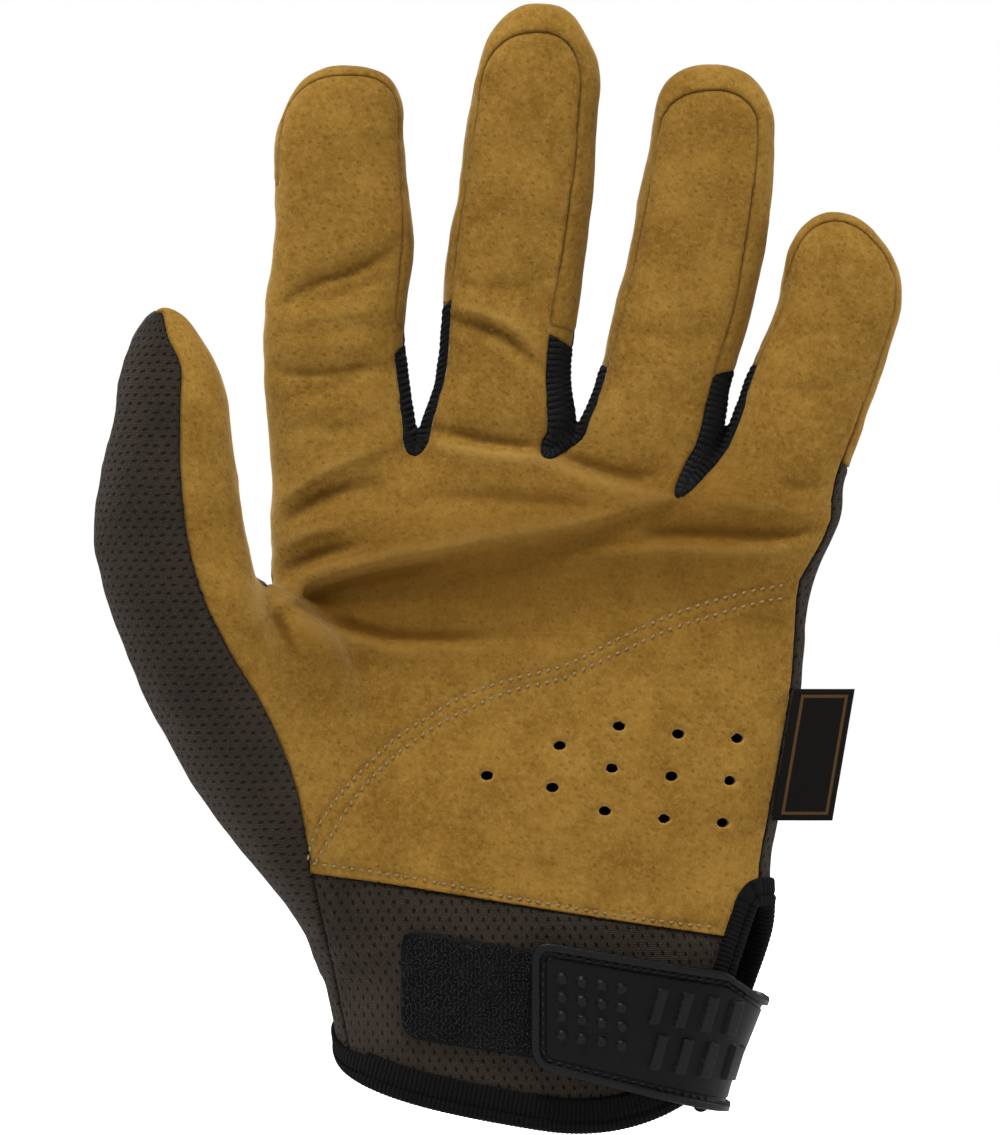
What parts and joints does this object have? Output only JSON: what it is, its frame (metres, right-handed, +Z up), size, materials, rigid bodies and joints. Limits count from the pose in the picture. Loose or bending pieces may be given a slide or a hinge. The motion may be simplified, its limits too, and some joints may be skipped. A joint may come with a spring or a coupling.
{
  "type": "mechanic glove",
  "caption": "Left-hand work glove with a suede palm, knit back and a strapped wrist slit, filled out as if worn, palm forward.",
  "frame": {"origin": "centre of the wrist opening, where a forearm would go in", "axes": "+Z up along the fingers, -Y out of the palm, +X towards the little finger, thumb at -X"},
  "size_m": [0.1796, 0.0684, 0.2538],
  "materials": {
    "suede": "napped split leather, tan",
    "mesh_knit": "brown dimpled mesh knit, matte",
    "smooth_knit": "smooth dark grey stretch cloth",
    "black_knit": "ribbed black knit, matte",
    "loop_pile": "black brushed loop pile",
    "tab_rubber": "moulded black rubber, satin",
    "woven_label": "tight woven label, black with a brown border"
  },
  "bodies": {
    "root": {"palm_panel": "suede", "back_panel": "mesh_knit", "thumb_side_panel": "mesh_knit", "thumb_back_panel": "smooth_knit", "wrist_panel": "mesh_knit", "index_tip_wall": "suede", "middle_tip_wall": "suede", "ring_tip_wall": "suede", "little_tip_wall": "suede", "fourchette_index_middle": "black_knit", "fourchette_middle_ring": "black_knit", "fourchette_ring_little": "black_knit", "cuff_binding": "black_knit", "vent_binding": "black_knit", "loop_patch": "loop_pile", "closure_tab": "tab_rubber", "side_label": "woven_label"}
  },
  "joints": []
}
